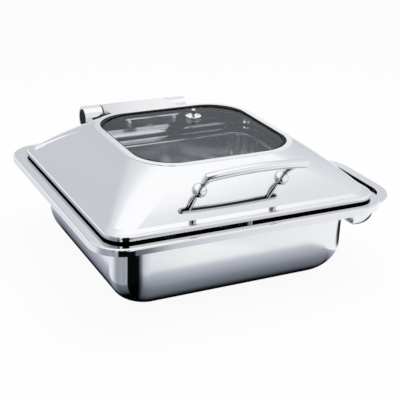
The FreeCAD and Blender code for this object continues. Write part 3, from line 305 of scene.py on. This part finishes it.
def studio_colour(tree):
    """What polished metal sees of the studio, by the direction of its ray."""
    ray = tree.nodes.new("ShaderNodeTexCoord")
    split = tree.nodes.new("ShaderNodeSeparateXYZ")
    tree.links.new(ray.outputs["Generated"], split.inputs[0])
    overhead = grey_ramp(tree, split.outputs["Z"], 0, 1, OVERHEAD)
    low = soft_step(tree, split.outputs["Z"], *CEILING_RISE)
    turn = compass_turn(tree, split.outputs["X"], split.outputs["Y"])
    glint = math_node(tree, "MULTIPLY",
        soft_step(tree, split.outputs["Z"], *GLINT_RISE), soft_step(tree, turn, *GLINT_TURN))
    white = add_node(tree, "ShaderNodeRGB").outputs[0]
    white.default_value = grey(GLINT_LEVEL)
    level = blend_colours(tree, "MIX", glint, grey_ramp(tree, turn, -180, 180, ROUND), white)
    return blend_colours(tree, "MIX", low, overhead, level)


def second_hand(tree, path):
    """How much of the studio is left after several reflections, outside and through the window.

    A light path crosses two faces each time it goes through the window's glass, and one where it meets
    the lamp, which steel doesn't show. This is made for looks and isn't how light fades: metal seen
    through the glass from the outer side, as in the open lid, mirrors no studio where its light
    doesn't come back through the glass.
    """
    crossed = path.outputs["Transparent Depth"]
    outside = math_node(tree, "MULTIPLY",
        soft_step(tree, path.outputs["Glossy Depth"], *SECOND_HAND),
        math_node(tree, "LESS_THAN", crossed, CROSSED_OUTSIDE))
    inside = math_node(tree, "MULTIPLY",
        math_node(tree, "GREATER_THAN", crossed, CROSSED_WINDOW), WINDOW_LIGHT)
    return math_node(tree, "ADD", outside, inside)


def light_world():
    """Soft light on everything, the studio for metal, and plain white behind it all for the camera."""
    world = bpy.data.worlds.new("studio")
    bpy.context.scene.world = world
    world.use_nodes = True
    tree = world.node_tree
    path = tree.nodes.new("ShaderNodeLightPath")
    soft = tree.nodes["Background"]
    soft.inputs["Color"].default_value = (1, 1, 1, 1)
    soft.inputs["Strength"].default_value = SOFT_LIGHT
    white = add_node(tree, "ShaderNodeBackground", Color=(1, 1, 1, 1), Strength=1.0)
    studio = tree.nodes.new("ShaderNodeBackground")
    tree.links.new(studio_colour(tree), studio.inputs["Color"])
    tree.links.new(second_hand(tree, path), studio.inputs["Strength"])
    below = soft.outputs[0]
    first_sight = math_node(tree, "LESS_THAN", path.outputs["Glossy Depth"], 0.5)
    clear_view = math_node(tree, "MULTIPLY", path.outputs["Is Transmission Ray"], first_sight)
    for factor, shader in (
            (path.outputs["Is Glossy Ray"], studio),
            (clear_view, white), (path.outputs["Is Camera Ray"], white)):
        mix = tree.nodes.new("ShaderNodeMixShader")
        tree.links.new(factor, mix.inputs["Fac"])
        tree.links.new(below, mix.inputs[1])
        tree.links.new(shader.outputs[0], mix.inputs[2])
        below = mix.outputs[0]
    tree.links.new(below, tree.nodes["World Output"].inputs["Surface"])


def new_object(name, points, faces):
    """A mesh object from points in metres."""
    mesh = bpy.data.meshes.new(name)
    mesh.from_pydata(points, [], faces)
    thing = bpy.data.objects.new(name, mesh)
    bpy.context.scene.collection.objects.link(thing)
    return thing


def wall_distance(tree, place, half, rate=1.0):
    """How far a floor point lies beyond one pair of the body's walls, times a rate."""
    beyond = math_node(tree, "SUBTRACT", math_node(tree, "ABSOLUTE", place), half)
    return math_node(tree, "MULTIPLY", beyond, rate)


def painted_floor_reflection(tree):
    """The floor as polished metal sees it, a painted reflection: the studio's levels with a painted shadow
    where the rim would cast one.
    """
    split = tree.nodes.new("ShaderNodeSeparateXYZ")
    tree.links.new(object_place(tree), split.inputs[0])
    across = math_node(tree, "SUBTRACT", split.outputs["X"], SHADE_CENTRE[0])
    along = math_node(tree, "SUBTRACT", split.outputs["Y"], SHADE_CENTRE[1])
    side = wall_distance(tree, split.outputs["X"], BODY_HALF[0], SIDE_RATE)
    front = wall_distance(tree, split.outputs["Y"], BODY_HALF[1])
    outside = math_node(tree, "SQRT", math_node(tree, "ADD",
        math_node(tree, "POWER", math_node(tree, "MAXIMUM", side, 0.0), 2.0),
        math_node(tree, "POWER", math_node(tree, "MAXIMUM", front, 0.0), 2.0)))
    inside = math_node(tree, "MINIMUM", math_node(tree, "MAXIMUM", side, front), 0.0)
    distance = math_node(tree, "ADD", outside, inside)
    # The painted shadow of the rim, darkest under the body and fading out by distance from its walls.
    shade = grey_ramp(tree, distance, FLOOR_SHADE[0][0], FLOOR_SHADE[-1][0], FLOOR_SHADE)
    far = math_node(tree, "SQRT", math_node(tree, "ADD",
        math_node(tree, "POWER", across, 2.0), math_node(tree, "POWER", along, 2.0)))
    twist = math_node(tree, "MULTIPLY", soft_step(tree, far, *FLOOR_TURN_REACH), FLOOR_TURN)
    turn = math_node(tree, "SUBTRACT", compass_turn(tree, across, along), twist)
    # Painted shade on the floor by compass turn, with its black strip.
    floor_levels_with_painted_shade = grey_ramp(tree, turn, -180, 180, FLOOR_ROUND)
    open_floor = blend_colours(tree, "MULTIPLY", 1.0, floor_levels_with_painted_shade, shade)
    squares = []
    # A painted shadow of the spoon rest, nearly black on the floor that metal shows.
    for output, middle, reach in zip(("X", "Y"), REST_SHADE, REST_REACH):
        part = math_node(tree, "DIVIDE", math_node(tree, "SUBTRACT", split.outputs[output], middle), reach)
        squares.append(math_node(tree, "POWER", part, 2.0))
    painted_rest_shadow = soft_step(tree, math_node(tree, "ADD", *squares), *REST_FADE)
    black = add_node(tree, "ShaderNodeRGB").outputs[0]
    black.default_value = grey(REST_LEVEL)
    return blend_colours(tree, "MIX", painted_rest_shadow, open_floor, black)


def make_floor():
    """White to the camera but for the object's shadow, and to metal a painted floor of the studio that
    glows, with painted shade.
    """
    reach = FLOOR_REACH
    corners = [(-reach, -reach, 0), (reach, -reach, 0), (reach, reach, 0), (-reach, reach, 0)]
    floor = new_object("floor", corners, [(0, 1, 2, 3)])
    material, tree, shader = new_material("floor")
    tree.nodes.remove(shader)
    path = tree.nodes.new("ShaderNodeLightPath")
    diffuse = add_node(tree, "ShaderNodeBsdfDiffuse", Color=FLOOR_COLOUR)
    glow = add_node(tree, "ShaderNodeEmission", Color=(1, 1, 1, 1), Strength=1.0)
    # A glow seen only by metal: the floor's painted reflection, with painted shade and shadow.
    painted_reflection = tree.nodes.new("ShaderNodeEmission")
    tree.links.new(painted_floor_reflection(tree), painted_reflection.inputs["Color"])
    tree.links.new(second_hand(tree, path), painted_reflection.inputs["Strength"])
    share = math_node(tree, "MULTIPLY", path.outputs["Is Camera Ray"], FLOOR_SHARE)
    below = diffuse.outputs[0]
    for factor, top in ((share, glow), (path.outputs["Is Glossy Ray"], painted_reflection)):
        mix = tree.nodes.new("ShaderNodeMixShader")
        tree.links.new(factor, mix.inputs["Fac"])
        tree.links.new(below, mix.inputs[1])
        tree.links.new(top.outputs[0], mix.inputs[2])
        below = mix.outputs[0]
    tree.links.new(below, tree.nodes["Material Output"].inputs["Surface"])
    floor.data.materials.append(material)


def add_lamp(name, place, target, size, power):
    """A rectangular lamp that lights but doesn't show in metal."""
    data = bpy.data.lights.new(name, "AREA")
    data.shape = "RECTANGLE"
    data.size, data.size_y = size
    data.energy = power
    lamp = bpy.data.objects.new(name, data)
    bpy.context.scene.collection.objects.link(lamp)
    lamp.location = place
    lamp.rotation_euler = (Vector(target) - Vector(place)).to_track_quat("-Z", "Y").to_euler()
    lamp.visible_glossy = False


# The photo's view: the camera's compass turn, rise, roll, place in metres and lens in millimetres.
CAMERA_TURN = math.radians(-26.24)
CAMERA_RISE = math.radians(22.40)
CAMERA_ROLL = math.radians(1.63)
CAMERA_PLACE = Vector((-0.59062, -1.2278, 0.64921))
CAMERA_LENS = 90.44
SENSOR_WIDTH = 36


def add_camera():
    """The camera at its place, facing along its turn and rise and rolled about its line of sight."""
    back = Vector((
        math.sin(CAMERA_TURN) * math.cos(CAMERA_RISE),
        -math.cos(CAMERA_TURN) * math.cos(CAMERA_RISE),
        math.sin(CAMERA_RISE)))
    level_right = Vector((0, 0, 1)).cross(back).normalized()
    level_up = back.cross(level_right)
    right = math.cos(CAMERA_ROLL) * level_right + math.sin(CAMERA_ROLL) * level_up
    up = math.cos(CAMERA_ROLL) * level_up - math.sin(CAMERA_ROLL) * level_right
    data = bpy.data.cameras.new("camera")
    data.sensor_width = SENSOR_WIDTH
    data.lens = CAMERA_LENS
    camera = bpy.data.objects.new("camera", data)
    bpy.context.scene.collection.objects.link(camera)
    turn = Matrix((right, up, back)).transposed().to_4x4()
    camera.matrix_world = Matrix.Translation(CAMERA_PLACE) @ turn
    bpy.context.scene.camera = camera


make_floor()
light_world()
add_lamp("ceiling", place=(0.2, -0.1, 1.7), target=(0, 0, 0), size=(1.6, 1.6), power=22)
add_camera()
bpy.context.scene.view_settings.view_transform = "Standard"
